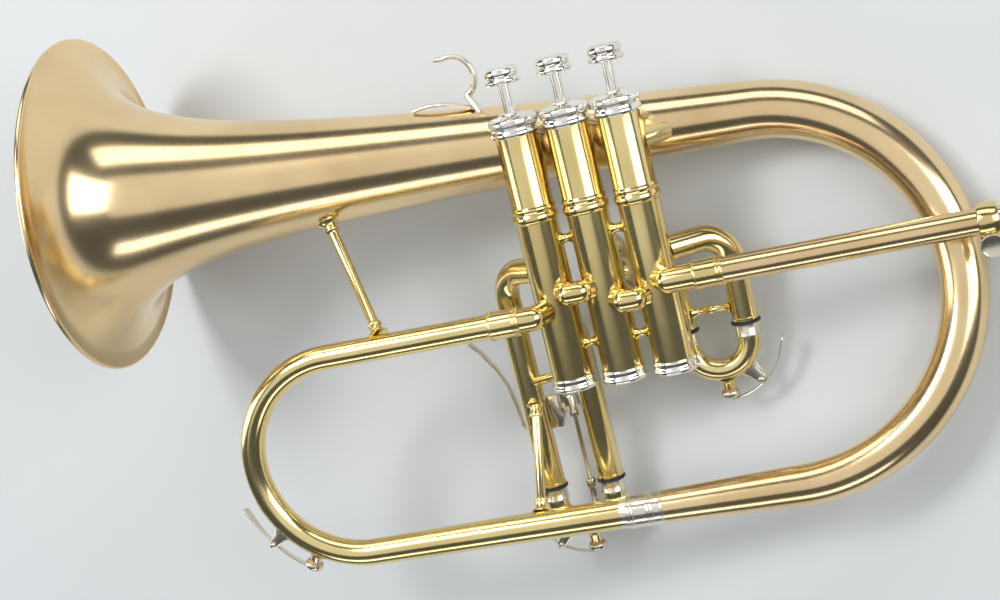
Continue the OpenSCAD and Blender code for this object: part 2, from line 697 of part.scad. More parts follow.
// Nipple, two cheeks and the hinge pin, standing on the tube's outer side
module key_saddle(k) {
    surface = k[6];
    at_key(k) {
        rotate([0, 0, k[3]]) translate([surface - 0.4, 0, 0]) rotate([0, 90, 0]) difference() {
            lathe([[0, 0], [3.6, 0], [2.9, 1.2], [2.9, k[9]], [0, k[9]]]);
            translate([0, 0, -2]) cylinder(r = 1.6, h = k[9] + 4);
        }
        rotate([0, 0, k[4]]) difference() {
            union() {
                for (s = [-1, 1]) translate([0, 0, s * (key_w / 2 + 0.8) - 0.45])
                    linear_extrude(0.9) {
                        polygon([[surface - 0.6, -4], [surface - 0.6, 4], [k[8], 2.1], [k[8], -2.1]]);
                        translate([k[8], 0]) circle(r = 2.1);
                    }
                translate([surface - 0.6, -3.6, -key_w / 2 - 0.5]) cube([1.2, 7.2, key_w + 1]);
                translate([k[8], 0, -key_w / 2 - 1.9]) cylinder(r = 0.85, h = key_w + 3.8);
            }
        }
    }
}

module key_lever(k) {
    from = min(k[3], k[5]);
    sweep = abs(k[5] - k[3]);
    w = key_w;
    color(nickel_silver) at_key(k) {
        difference() {
            union() {
                rotate([0, 0, from]) rotate_extrude(angle = sweep) translate([k[7] - key_t / 2, -w / 2])
                    square([key_t, w]);
                rotate([0, 0, k[4]]) translate([k[8], 0, -w / 2]) cylinder(r = 1.9, h = w);
                rotate([0, 0, k[4]]) translate([k[8], -1.9, -w / 2])
                    cube([max(k[7] - k[8], 0.2), 3.8, w]);
                rotate([0, 0, k[5]]) translate([k[7] - key_t / 2, 0, 0]) rotate([0, 90, 0])
                    cylinder(r = 3, h = key_t);
            }
            rotate([0, 0, k[4]]) translate([k[8], 0, -w]) cylinder(r = 0.9, h = 2 * w);
        }
        rotate([0, 0, k[3]]) translate([cork_base(k) + 0.9, 0, 0]) rotate([0, 90, 0]) difference() {
            lathe([[0, 0], [4.1, 0], [4.3, 0.4], [4.3, cup_h - 1], [3.6, cup_h], [0, cup_h + 0.4]]);
            translate([0, 0, -1]) cylinder(r = 3.6 + hair, h = cork_h - 0.9 + 1 + hair);
        }
    }
}

function cork_base(k) = k[6] - 0.4 + k[9] + 0.05;

module key_cork(k) {
    color(cork_brown) at_key(k) rotate([0, 0, k[3]]) translate([cork_base(k), 0, 0])
        rotate([0, 90, 0]) cylinder(r = 3.6, h = cork_h);
}

module bow_key_saddle() { color(nickel_silver) key_saddle(bow_key_at); }
module bow_key() { key_lever(bow_key_at); }
module bow_key_cork() { key_cork(bow_key_at); }
module first_key() { key_lever(first_key_at); }
module first_key_cork() { key_cork(first_key_at); }
module third_key() { key_lever(third_key_at); }
module third_key_cork() { key_cork(third_key_at); }

// ============================ braces and hook ============================
// A turned post between two points, with a collar near each end and a foot at each end
module post(p, q, r) {
    d = q - p;
    length = norm(d);
    translate(p) rotate([0, acos(d[2] / length), atan2(d[1], d[0])]) lathe([
        [0, 0], [r + 2.2, 0], [r + 1.6, 1], [r + 0.5, 1.6], [r + 0.5, 4], [r + 1.1, 4.4], [r + 1.1, 5.4],
        [r, 6], [r, length - 6], [r + 1.1, length - 5.4], [r + 1.1, length - 4.4], [r + 0.5, length - 4],
        [r + 0.5, length - 1.6], [r + 1.6, length - 1], [r + 2.2, length], [0, length]]);
}

module bell_brace() {
    color(yellow_brass) post([-122.3, 15.4, 91.2], [-102.2, -13.2, 41.6], 2.3);
}

module leadpipe_brace() {
    color(yellow_brass) post([147.6, front_y + sleeve_r - 0.4, inlet_z - 1], [147.6, 2.4, inlet_z - 1], 2.2);
}

module valve_brace() {
    color(yellow_brass) difference() {
        rod([valve_pitch, 0, 101], [42, 20, 101], 4.4);
        translate([valve_pitch, 0, 80]) cylinder(r = casing_r + hair, h = 40);
        at_bell() translate([0, 0, 200]) cylinder(r1 = bell_r(200) + hair, r2 = bell_r(310) + 0.3, h = 110);
    }
}

module third_brace() {
    color(yellow_brass) {
        difference() {
            post([third_legs[0] + 2.4, slide_y - sleeve_r, -9], [third_legs[0], -13.2, -51.4], 2.2);
            translate([third_legs[0], slide_y, -60]) cylinder(r = sleeve_r + hair, h = 80);
        }
        difference() {
            rod([third_legs[0], slide_y, 0], [-valve_pitch, 0, 0] + [0, 0, 6], 2.1);
            translate([third_legs[0], slide_y, -20]) cylinder(r = sleeve_r + hair, h = 40);
            translate([-valve_pitch, 0, -20]) cylinder(r = casing_r + hair, h = 60);
            translate([-valve_pitch, 0, -3]) cylinder(r = 10.8, h = 8);
        }
    }
}

// The little-finger hook stands on the bell's tube just ahead of the valves
hook_base = [-42, 24.5, 124.6];
module finger_hook() {
    bend = [-52, 27, 141.6];
    arc = [for (a = [-60:12:108]) bend + 10 * [cos(a), 0, sin(a)]];
    path = concat([hook_base, hook_base + [-1.6, 0.8, 3]], arc, [[-58.6, 27, 151.6]]);
    n = len(path);
    width = [for (i = [0:n - 1]) 1.1 + 0.5 * (1 - i / n)];
    depth = [for (i = [0:n - 1]) i < 2 ? 3.6 : 2.6 - 1.2 * i / n];
    color(nickel_silver) {
        swept_solid(path, [0, 1, 0], width, depth, 10);
        tongue = [for (i = [0:6]) [-46 - 27 * i / 6, 25, 127.6 + 3.2 * sin(150 * i / 6) + i * 0.35]];
        swept_solid(tongue, [0, 1, 0], [for (i = [0:6]) 1], [for (i = [0:6]) 3 - 0.25 * i], 10);
        foot = [for (i = [0:4]) [-44 + 10 * i / 4, 24, 125 - 0.35 * i]];
        swept_solid(foot, [0, 1, 0], [for (i = [0:4]) 1.1], [for (i = [0:4]) 3.4 - 0.5 * i], 10);
    }
}

// ============================ third-slide trigger ============================
// A plate behind the third slide's fixed leg, with the lever's pivot pin
module trigger_bracket() {
    p = trigger_pivot;
    plate_y = slide_y + 2.1;
    color(nickel_silver) {
        difference() {
            union() {
                translate([p[0] - 5, plate_y, p[2] - 4]) cube([8, 3.6, 15]);
                translate([p[0], plate_y + 3.6, p[2]]) rotate([90, 0, 0]) cylinder(r = 4, h = 3.6);
            }
            translate([third_legs[0], slide_y, p[2] - 20]) cylinder(r = sleeve_r + hair, h = 60);
        }
        translate([p[0], p[1] + 3.2, p[2]]) rotate([90, 0, 0])
            lathe([[0, 0], [1.9, 0], [2.2, 0.3], [2.2, 0.9], [trigger_pin_r, 0.9],
                [trigger_pin_r, p[1] - plate_y + 2], [0, p[1] - plate_y + 2]]);
    }
}

// A curved finger lever; its short arm carries a pin that pushes the rod's crosshead
module trigger_lever() {
    p = trigger_pivot;
    reach = trigger_arm * [cos(trigger_arm_angle), sin(trigger_arm_angle)];
    side = 1.9 * [-sin(trigger_arm_angle), cos(trigger_arm_angle)];
    finger = [[-44, -22], [-50, -26], [-55, -26.4], [-58.4, -21.5], [-59.2, -12], [-61, -2],
        [-65, 7.5], [-70, 15.5], [-74.5, 21]];
    path = [for (f = finger) [f[0], p[1], f[1]]];
    last = len(path) - 1;
    color(nickel_silver) {
        translate(p) difference() {
            union() {
                translate([0, 1, 0]) rotate([90, 0, 0]) cylinder(r = 3.6, h = 3.2);
                translate([0, 1, 0]) rotate([90, 0, 0]) linear_extrude(2) {
                    polygon([side, reach + side, reach - side, -side]);
                    translate(reach) circle(r = 1.9);
                    polygon([[-1, 3.4], [-5, -1.9], [-5, -5.5], [0, -3.5]]);
                }
            }
            translate([0, 2, 0]) rotate([90, 0, 0]) cylinder(r = trigger_pin_r + 0.05, h = 6);
        }
        translate(p + [reach[0], -0.5, reach[1]]) rotate([90, 0, 0]) cylinder(r = link_pin_r, h = 4.4);
        swept_solid(path, [0, 1, 0], [for (q = path) 0.8],
            [for (i = [0:last]) 2 + 1.2 * max(i - 4, 0) / (last - 4)], 12);
    }
}

// The push rod stands on the third slide's crook; the lever's pin rides in the slot of its head
module trigger_rod() {
    link_z = trigger_pivot[2] + trigger_arm * sin(trigger_arm_angle);
    slot = 2 * link_pin_r + 1.3;
    color(nickel_silver) translate([rod_x, slide_y, 0]) {
        lathe([[0, -65.2], [1.7, -65.2], [1.7, -53], [2.4, -52.6], [2.4, -49.4], [1.1, -49], [1.1, -19],
            [2.1, -18.6], [2.1, -16.4], [1.7, -16], [1.7, link_z + 1.2], [0, link_z + 1.6]]);
        difference() {
            translate([-5, 0, link_z - 3.2]) cube([8.6, 7.6, 6.4]);
            translate([-3.6, 3.6, link_z - slot / 2]) cube([6.4, 8, slot]);
        }
    }
}

// ============================ drawing ============================
lying() bell();
lying() bell_wire();
lying() bell_ferrule();
lying() main_bow();
lying() bow_ferrule();
lying() small_bow();
lying() outlet_ferrule();
lying() outlet_elbow();
lying() crossovers();
lying() casing_spacers();
lying() inlet_elbow();
lying() inlet_ferrule();
lying() leadpipe_sleeve();
lying() tuning_pipe();
lying() mouthpiece_receiver();
lying() clamp_collar();
lying() clamp_screw();
lying() casing_1();
lying() casing_2();
lying() casing_3();
lying() piston_1();
lying() piston_2();
lying() piston_3();
lying() stem_1();
lying() stem_2();
lying() stem_3();
lying() button_1();
lying() button_2();
lying() button_3();
lying() valve_guides();
lying() valve_springs();
lying() top_caps();
lying() bottom_caps();
lying() cap_felts();
lying() first_sleeves();
lying() first_slide_tubes();
lying() first_slide_crook();
lying() first_slide_rings();
lying() second_sleeves();
lying() second_slide();
lying() third_sleeves();
lying() third_slide_tubes();
lying() third_slide_crook();
lying() third_slide_rings();
lying() bell_brace();
lying() leadpipe_brace();
lying() valve_brace();
lying() third_brace();
lying() finger_hook();
lying() trigger_bracket();
lying() trigger_lever();
lying() trigger_rod();
lying() bow_key_saddle();
lying() bow_key();
lying() bow_key_cork();
lying() first_key();
lying() first_key_cork();
lying() third_key();
lying() third_key_cork();
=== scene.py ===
import json
from collections import namedtuple
from math import atan, cos, hypot, pi, radians, sin

import bmesh
import bpy
from mathutils import Matrix, Vector


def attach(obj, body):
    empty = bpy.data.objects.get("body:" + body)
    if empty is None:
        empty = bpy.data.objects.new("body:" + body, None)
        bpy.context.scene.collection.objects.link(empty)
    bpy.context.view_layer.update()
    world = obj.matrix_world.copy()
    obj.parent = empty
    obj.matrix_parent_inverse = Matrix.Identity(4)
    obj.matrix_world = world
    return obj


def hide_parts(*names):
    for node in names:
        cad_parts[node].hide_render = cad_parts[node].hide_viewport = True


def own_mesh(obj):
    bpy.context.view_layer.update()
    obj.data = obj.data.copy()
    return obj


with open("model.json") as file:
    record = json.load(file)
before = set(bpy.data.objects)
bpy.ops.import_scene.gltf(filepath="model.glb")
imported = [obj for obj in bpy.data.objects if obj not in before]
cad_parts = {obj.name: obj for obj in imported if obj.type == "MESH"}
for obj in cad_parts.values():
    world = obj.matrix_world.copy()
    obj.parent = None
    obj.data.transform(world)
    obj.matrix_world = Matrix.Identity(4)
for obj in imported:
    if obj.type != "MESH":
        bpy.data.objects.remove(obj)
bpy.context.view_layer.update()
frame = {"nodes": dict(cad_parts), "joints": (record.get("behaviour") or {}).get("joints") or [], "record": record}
NODES = frame["nodes"]
JOINTS = {joint["name"]: joint for joint in frame["joints"]}

# ---------------------------------------------------------------- the horn's own directions
# Shapes below are drawn in the horn's own millimetres: x from the bell to the mouthpiece,
# y from the player's left side to the right side, z along the valves up to the buttons,
# zero on the middle valve's axis at the widest ring of its bottom cap.
CLAMP_SCREW = Vector((164.25, -16, 32.4))
X_AXIS = Vector(JOINTS["tuning_slide_pull"]["axis"])
Y_AXIS = Vector(JOINTS["second_slide_pull"]["axis"])
Z_AXIS = -Vector(JOINTS["valve_1_press"]["axis"])
TURN = Matrix((X_AXIS, Y_AXIS, Z_AXIS)).transposed()
ORIGIN = Vector(JOINTS["clamp_screw_turn"]["pos_m"]) - TURN @ CLAMP_SCREW / 1000
HORN = Matrix.Translation(ORIGIN) @ TURN.to_4x4() @ Matrix.Scale(0.001, 4)

VALVE_X = {1: 23, 2: 0, 3: -23}
BETWEEN = 11.5
FRONT_Y, SLIDE_Y, BELL_Y = -16, 16.4, 28
INLET_Z, OUTLET_Z, LOWER_Z = 41.8, 36.3, -57.3
CASING_R = 9.4
SLEEVE_R, INNER_R, BORE_R = 5.75, 5.3, 4.95
BOW_WALL = 0.55
QUARTER = [pi / 2 * k / 14 for k in range(15)]


# ---------------------------------------------------------------- shapes: (vertices, faces)
def turned(outline, at=(0, 0, 0), along=(0, 0, 1), steps=96):
    """A closed outline of (radius, height) points turned about the direction along."""
    turn = Vector((0, 0, 1)).rotation_difference(Vector(along)).to_matrix()
    at = Vector(at)
    points, rings = [], []
    for radius, height in outline:
        count = 1 if radius < 1e-6 else steps
        rings.append((len(points), count))
        for k in range(count):
            angle = 2 * pi * k / steps
            points.append(at + turn @ Vector((radius * cos(angle), radius * sin(angle), height)))
    faces = []
    for i in range(len(rings)):
        (a, na), (b, nb) = rings[i], rings[(i + 1) % len(rings)]
        if na == 1 and nb == 1:
            continue
        for k in range(steps):
            j = (k + 1) % steps
            if na == 1:
                faces.append((a, b + j, b + k))
            elif nb == 1:
                faces.append((a + k, a + j, b))
            else:
                faces.append((a + k, a + j, b + j, b + k))
    return points, faces


def tube(outer, inner, length, at, along, steps=96):
    """A straight pipe with square ends."""
    return turned([(inner, 0), (outer, 0), (outer, length), (inner, length)], at, along, steps)


def disc(radius, length, at, along, steps=64):
    return turned([(0, 0), (radius, 0), (radius, length), (0, length)], at, along, steps)


def rod(start, end, radius, steps=48):
    """A round bar between two points."""
    start, end = Vector(start), Vector(end)
    return disc(radius, (end - start).length, start, (end - start).normalized(), steps)


def ring_round(centre, direction, across, wide, high, steps, power=1.0):
    """Points round centre; power below 1 squares the section off."""
    side = direction.cross(across).normalized()
    other = side.cross(direction).normalized()
    ring = []
    for k in range(steps):
        c, s = cos(2 * pi * k / steps), sin(2 * pi * k / steps)
        c = abs(c) ** power * (1 if c > 0 else -1)
        s = abs(s) ** power * (1 if s > 0 else -1)
        ring.append(centre + wide * c * side + high * s * other)
    return ring


def path_direction(path, i):
    return (path[min(i + 1, len(path) - 1)] - path[max(i - 1, 0)]).normalized()


def swept(path, across, wide, high=None, steps=24, power=1.0, cap=True):
    """A solid bar along path, with half widths wide[i] and high[i]."""
    path = [Vector(p) for p in path]
    across = Vector(across)
    high = wide if high is None else high
    points, faces = [], []
    for i, p in enumerate(path):
        points += ring_round(p, path_direction(path, i), across, wide[i], high[i], steps, power)
    for i in range(len(path) - 1):
        for k in range(steps):
            a, b = i * steps + k, i * steps + (k + 1) % steps
            faces.append((a, b, b + steps, a + steps))
    if cap:
        last = (len(path) - 1) * steps
        faces.append(tuple(range(steps - 1, -1, -1)))
        faces.append(tuple(last + k for k in range(steps)))
    return points, faces


def swept_pipe(path, across, radii, wall, steps=64):
    """A hollow tube along path with its wall closed at both ends."""
    outer, outer_faces = swept(path, across, radii, None, steps, 1.0, False)
    inner, inner_faces = swept(path, across, [r - wall for r in radii], None, steps, 1.0, False)
    far = len(outer)
    last = far - steps
    faces = outer_faces + [tuple(far + k for k in reversed(face)) for face in inner_faces]
    for k in range(steps):
        j = (k + 1) % steps
        faces.append((k, far + k, far + j, j))
        faces.append((last + k, last + j, far + last + j, far + last + k))
    return outer + inner, faces


def joined(shapes):
    """Several shapes as one."""
    points, faces = [], []
    for shape_points, shape_faces in shapes:
        start = len(points)
        points += shape_points
        faces += [tuple(start + k for k in face) for face in shape_faces]
    return points, faces


def smoothed(points, count):
    """A Catmull-Rom curve through the points, with count steps in each span."""
    points = [Vector(p) for p in points]
    result = []
    for i in range(len(points) - 1):
        p0, p1 = points[max(i - 1, 0)], points[i]
        p2, p3 = points[i + 1], points[min(i + 2, len(points) - 1)]
        for k in range(count):
            t = k / count
            result.append(0.5 * (2 * p1 + (p2 - p0) * t + (2 * p0 - 5 * p1 + 4 * p2 - p3) * t * t
                + (3 * p1 - p0 - 3 * p2 + p3) * t ** 3))
    return result + [points[-1]]


def lookup(x, table):
    """The value at x in a table of (x, value), with straight lines between its rows."""
    for (x0, y0), (x1, y1) in zip(table, table[1:]):
        if x <= x1:
            return y0 + (y1 - y0) * max(x - x0, 0) / (x1 - x0)
    return table[-1][1]


def lengths(path):
    """How far along the path each of its points is."""
    total, result = 0, [0]
    for a, b in zip(path, path[1:]):
        total += (Vector(b) - Vector(a)).length
        result.append(total)
    return result


# ---------------------------------------------------------------- materials
def node_material(name):
    material = bpy.data.materials.new(name)
    material.use_nodes = True
    tree = material.node_tree
    tree.nodes.clear()
    output = tree.nodes.new("ShaderNodeOutputMaterial")
    shader = tree.nodes.new("ShaderNodeBsdfPrincipled")
    tree.links.new(shader.outputs[0], output.inputs[0])
    place = tree.nodes.new("ShaderNodeTexCoord").outputs["Object"]
    return material, tree, shader, place


def noise(tree, place, scale, detail=3.0, stretch=(1, 1, 1)):
    mapping = tree.nodes.new("ShaderNodeMapping")
    mapping.inputs["Scale"].default_value = stretch
    texture = tree.nodes.new("ShaderNodeTexNoise")
    texture.inputs["Scale"].default_value = scale
    texture.inputs["Detail"].default_value = detail
    tree.links.new(place, mapping.inputs["Vector"])
    tree.links.new(mapping.outputs[0], texture.inputs["Vector"])
    return texture.outputs["Fac"]


def ramp(tree, source, stops):
    """A colour that follows source through the stops, each (position, colour)."""
    node = tree.nodes.new("ShaderNodeValToRGB")
    band = node.color_ramp
    band.elements[0].position, band.elements[0].color = stops[0][0], (*stops[0][1], 1)
    band.elements[1].position, band.elements[1].color = stops[-1][0], (*stops[-1][1], 1)
    for position, colour in stops[1:-1]:
        band.elements.new(position).color = (*colour, 1)
    tree.links.new(source, node.inputs[0])
    return node.outputs[0]


def levels(tree, source, low, high):
    """Source's middle range spread from low to high."""
    node = tree.nodes.new("ShaderNodeMapRange")
    node.inputs["From Min"].default_value = 0.3
    node.inputs["From Max"].default_value = 0.7
    node.inputs["To Min"].default_value = low
    node.inputs["To Max"].default_value = high
    tree.links.new(source, node.inputs["Value"])
    return node.outputs[0]


def bumped(tree, shader, source, strength, distance):
    node = tree.nodes.new("ShaderNodeBump")
    node.inputs["Strength"].default_value = strength
    node.inputs["Distance"].default_value = distance
    tree.links.new(source, node.inputs["Height"])
    tree.links.new(node.outputs[0], shader.inputs["Normal"])


def metal(name, dark, light, rough, wave, lacquer=0.0, grain=(1, 1, 1)):
    """Polished metal: clouds of tarnish, fine polishing lines, and a slightly wavy sheet."""
    material, tree, shader, place = node_material(name)
    clouds = noise(tree, place, 22, 2)
    shade = ramp(tree, clouds, [(0.25, dark), (0.6, light)])
    tree.links.new(shade, shader.inputs["Base Color"])
    lines = noise(tree, place, 260, 2, grain)
    tree.links.new(levels(tree, lines, rough * 0.88, rough * 1.12), shader.inputs["Roughness"])
    bumped(tree, shader, noise(tree, place, 30, 1), wave, 0.0012)
    shader.inputs["Metallic"].default_value = 1.0
    shader.inputs["Coat Weight"].default_value = lacquer
    shader.inputs["Coat Roughness"].default_value = 0.06
    return material


def grainy(name, dark, light, rough, scale, bump, stretch=(1, 1, 1)):
    """A plain solid material with a visible grain: cork, rubber, felt."""
    material, tree, shader, place = node_material(name)
    grain = noise(tree, place, scale, 6, stretch)
    tree.links.new(ramp(tree, grain, [(0.35, dark), (0.65, light)]), shader.inputs["Base Color"])
    tree.links.new(levels(tree, grain, rough, rough * 0.8), shader.inputs["Roughness"])
    bumped(tree, shader, grain, bump, 0.0003)
    return material


MATERIALS = {
    "rose_brass": metal("rose_brass", (0.74, 0.53, 0.28), (0.91, 0.70, 0.40), 0.19, 0.05, 0.05, (1, 6, 6)),
    "yellow_brass": metal("yellow_brass", (0.74, 0.58, 0.24), (0.92, 0.76, 0.37), 0.17, 0.05, 0.05,
        (1, 6, 6)),
    "nickel": metal("nickel", (0.78, 0.75, 0.68), (0.93, 0.91, 0.85), 0.15, 0.04),
    "nickel_silver": metal("nickel_silver", (0.66, 0.61, 0.50), (0.86, 0.81, 0.70), 0.20, 0.05, 0.0,
        (6, 6, 1)),
    "steel": metal("steel", (0.35, 0.35, 0.36), (0.58, 0.58, 0.60), 0.2, 0.03),
    "cork": grainy("cork", (0.36, 0.19, 0.07), (0.68, 0.45, 0.22), 0.75, 900, 0.5),
    "rubber": grainy("rubber", (0.008, 0.008, 0.009), (0.02, 0.02, 0.022), 0.45, 600, 0.15),
    "felt": grainy("felt", (0.62, 0.58, 0.50), (0.86, 0.84, 0.77), 0.95, 1500, 0.6),
}
SLOTS = {row["node"]: row["material_slot"] for row in frame["record"]["subparts"]}


def show(name, mesh, body, slot, replaced, bevel, sharp):
    """Puts a mesh on a body with its material, smooth shading and soft edges."""
    mesh.polygons.foreach_set("use_smooth", [True] * len(mesh.polygons))
    mesh.set_sharp_from_angle(angle=radians(sharp))
    mesh.materials.clear()
    mesh.materials.append(MATERIALS[slot])
    thing = bpy.data.objects.new(name, mesh)
    bpy.context.scene.collection.objects.link(thing)
    if bevel:
        rounding = thing.modifiers.new("rounding", "BEVEL")
        rounding.width = bevel / 1000
        rounding.segments = 2
        rounding.limit_method = "ANGLE"
        rounding.angle_limit = radians(sharp)
        rounding.harden_normals = True
    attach(thing, body)
    if replaced:
        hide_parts(*replaced)
    return thing


def piece(name, shape, body, slot, replaced=(), bevel=0.0, sharp=38):
    """A mesh drawn in the horn's millimetres, laid in its place."""
    points, faces = shape
    mesh = bpy.data.meshes.new(name)
    mesh.from_pydata(points, [], faces)
    mesh.transform(HORN)
    mesh.validate()
    return show(name, mesh, body, slot, replaced, bevel, sharp)


# ---------------------------------------------------------------- bell and bows
BELL_RIM_R, BELL_WALL, BELL_TILT = 78, 0.5, radians(3.77)
BELL_END, BELL_LENGTH = 248, 310.7
BOW_X = 68.5
BOW_LEAN = atan((BELL_Y - FRONT_Y) / 157.3)
BOW_UP = Vector((0, sin(BOW_LEAN), cos(BOW_LEAN)))
BOW_R = (BELL_Y - FRONT_Y) / sin(BOW_LEAN) / (1 + cos(BELL_TILT))
BOW_CENTRE = Vector((BOW_X, FRONT_Y, LOWER_Z)) + BOW_R * BOW_UP
BOW_START = BOW_CENTRE + BOW_R * (sin(BELL_TILT) * Vector((1, 0, 0)) + cos(BELL_TILT) * BOW_UP)
BELL_DIR = Vector((cos(BELL_TILT), 0, -sin(BELL_TILT)))
RIM_CENTRE = BOW_START - BELL_LENGTH * BELL_DIR
FERRULE_X = (-12.3, 7)
RIM_BEAD_R = 1.32


def bell_radius(s):
    return 192.5 * (s + 8.48) ** -0.467 + 7 * (1 - s / 310)


def bell_inside(s):
    slope = (bell_radius(s + 0.1) - bell_radius(s)) / 0.1
    square = hypot(1, slope)
    return bell_radius(s) - BELL_WALL / square, s + BELL_WALL * slope / square


def bell():
    steps = 110
    places = [BELL_END * (i / steps) ** 1.9 for i in range(steps + 1)]
    bead = (BELL_RIM_R - 0.2, 0.2)
    outline = [(bell_radius(s), s) for s in reversed(places) if s > 1.35]
    outline += [(bead[0] + RIM_BEAD_R * cos(a), bead[1] + RIM_BEAD_R * sin(a))
        for a in [radians(118 - 15 * k) for k in range(21)]]
    outline += [bell_inside(s) for s in places if s > 0.8]
    piece("bell_skin", turned(outline, RIM_CENTRE, BELL_DIR, 192), "root", "rose_brass", ["bell"], 0, 60)


def bell_ferrule():
    r = bell_radius(BELL_END - 7) + 0.02
    outline = [(r, 0), (r + 0.9, 0.1), (r + 0.95, 0.6), (r + 0.9, 1.2), (r + 0.45, 1.4), (r + 0.45, 12.6),
        (r + 0.9, 12.8), (r + 0.95, 13.4), (r + 0.9, 13.9), (r, 14)]
    piece("bell_joint", turned(outline, RIM_CENTRE + (BELL_END - 7) * BELL_DIR, BELL_DIR, 128), "root",
        "rose_brass", ["bell_ferrule"], 0.12)


def main_bow():
    straight, curved = 14, 120
    path = [RIM_CENTRE + (BELL_END + 0.02 + (BELL_LENGTH - BELL_END) * i / straight) * BELL_DIR
        for i in range(straight)]
    for i in range(curved + 1):
        a = pi / 2 - BELL_TILT - (pi - BELL_TILT) * i / curved
        path.append(BOW_CENTRE + BOW_R * (cos(a) * Vector((1, 0, 0)) + sin(a) * BOW_UP))
    path += [Vector((BOW_X + (FERRULE_X[1] + 0.02 - BOW_X) * i / straight, FRONT_Y, LOWER_Z))
        for i in range(1, straight + 1)]
    taper = [(0, bell_radius(BELL_END)), (63, bell_radius(BELL_LENGTH)), (110, 12.1), (150, 11.2),
        (200, 10.2), (250, 9.8), (300, 9.4), (335, 8.6), (376, 7.45)]
    radii = [lookup(s, taper) for s in lengths(path)]
    across = Vector((1, 0, 0)).cross(BOW_UP)
    piece("main_bow_skin", swept_pipe(path, across, radii, BOW_WALL, 80), "root", "rose_brass", ["main_bow"])


SMALL_CENTRE = Vector((-128.7, FRONT_Y, (OUTLET_Z + LOWER_Z) / 2))
SMALL_R = (OUTLET_Z - LOWER_Z) / 2
SMALL_START, SMALL_END = -45, -3


def small_bow():
    straight, curved = 16, 96
    path = [Vector((SMALL_START + (SMALL_CENTRE.x - SMALL_START) * i / straight, FRONT_Y, OUTLET_Z))
        for i in range(straight)]
    path += [SMALL_CENTRE + SMALL_R * Vector((cos(a), 0, sin(a)))
        for a in [pi / 2 + pi * i / curved for i in range(curved + 1)]]
    path += [Vector((SMALL_CENTRE.x + (SMALL_END - SMALL_CENTRE.x) * i / straight, FRONT_Y, LOWER_Z))
        for i in range(1, straight + 1)]
    taper = [(0, 5.45), (84, 5.65), (158, 5.75), (232, 6.15), (255, 6.3), (325, 6.8), (358, 6.9)]
    radii = [lookup(s, taper) for s in lengths(path)]
    piece("small_bow_skin", swept_pipe(path, (0, 1, 0), radii, BOW_WALL, 64), "root", "yellow_brass",
        ["small_bow"])


BEAD_W = 1.15


def beaded_ferrule(name, radius, inner, start, length, z, beads, slot, replaced):
    """A sleeve along x with round beads; each bead is given by where it starts."""
    outline = [(inner, 0)]
    for at in sorted(beads):
        if at > 0.2:
            outline.append((radius, at))
        outline += [(radius + 0.28, at + 0.12 * BEAD_W), (radius + 0.45, at + 0.5 * BEAD_W),
            (radius + 0.28, at + 0.88 * BEAD_W), (radius, at + BEAD_W)]
    outline += [(radius, length), (inner, length)]
    piece(name, turned(outline, (start, FRONT_Y, z), (1, 0, 0), 96), "root", slot, replaced, 0.08, 50)


def ferrules():
    beaded_ferrule("inlet_joint", 6.2, SLEEVE_R + 0.02, 42, 13, INLET_Z, [0.1, 10, 11.6],
        "yellow_brass", ["inlet_ferrule"])
    beaded_ferrule("outlet_joint", 6.2, SLEEVE_R + 0.02, -50.5, 14, OUTLET_Z, [0.1, 11, 12.6],
        "yellow_brass", ["outlet_ferrule"])
    beaded_ferrule("bow_joint", 7.35, 6.92, FERRULE_X[0], FERRULE_X[1] - FERRULE_X[0], LOWER_Z,
        [3.1, 4.8, 12, 13.7, 18.1], "nickel_silver", ["bow_ferrule"])


# ---------------------------------------------------------------- leadpipe
RECEIVER_X, RECEIVER_END, RECEIVER_R, SHANK_L = 204, 228, 4.85, 20
LEAD_X, LEAD_END, TUNING_X = 47.02, 168, 70
LEAD_R = SLEEVE_R - 0.1
TUNING_R, TUNING_BORE = INNER_R - 0.14, 4.6


def leadpipe():
    sleeve = tube(LEAD_R, TUNING_R + 0.06, LEAD_END - LEAD_X, (LEAD_X, FRONT_Y, INLET_Z), (1, 0, 0))
    piece("leadpipe", sleeve, "root", "rose_brass", ["leadpipe_sleeve"], 0.1)
    pipe = tube(TUNING_R, TUNING_BORE, RECEIVER_X + 2 - TUNING_X, (TUNING_X, FRONT_Y, INLET_Z), (1, 0, 0))
    piece("tuning_tube", pipe, "tuning_slide", "nickel_silver", ["tuning_pipe"], 0.1)
    h = RECEIVER_END - RECEIVER_X
    outline = [(5.2, 0), (5.9, 0.05), (6.4, 0.8), (5.9, 1.6), (5.8, 4), (6.0, 9), (6.3, h - 6),
        (6.5, h - 3.5), (7.0, h - 3.3), (7.2, h - 1.8), (7.0, h - 0.5), (6.6, h),
        (RECEIVER_R + 0.02, h), (RECEIVER_R, h - SHANK_L), (4.4, h - SHANK_L), (4.4, 3), (5.2, 3)]
    piece("receiver", turned(outline, (RECEIVER_X, FRONT_Y, INLET_Z), (1, 0, 0)), "tuning_slide",
        "rose_brass", ["mouthpiece_receiver"], 0.1)


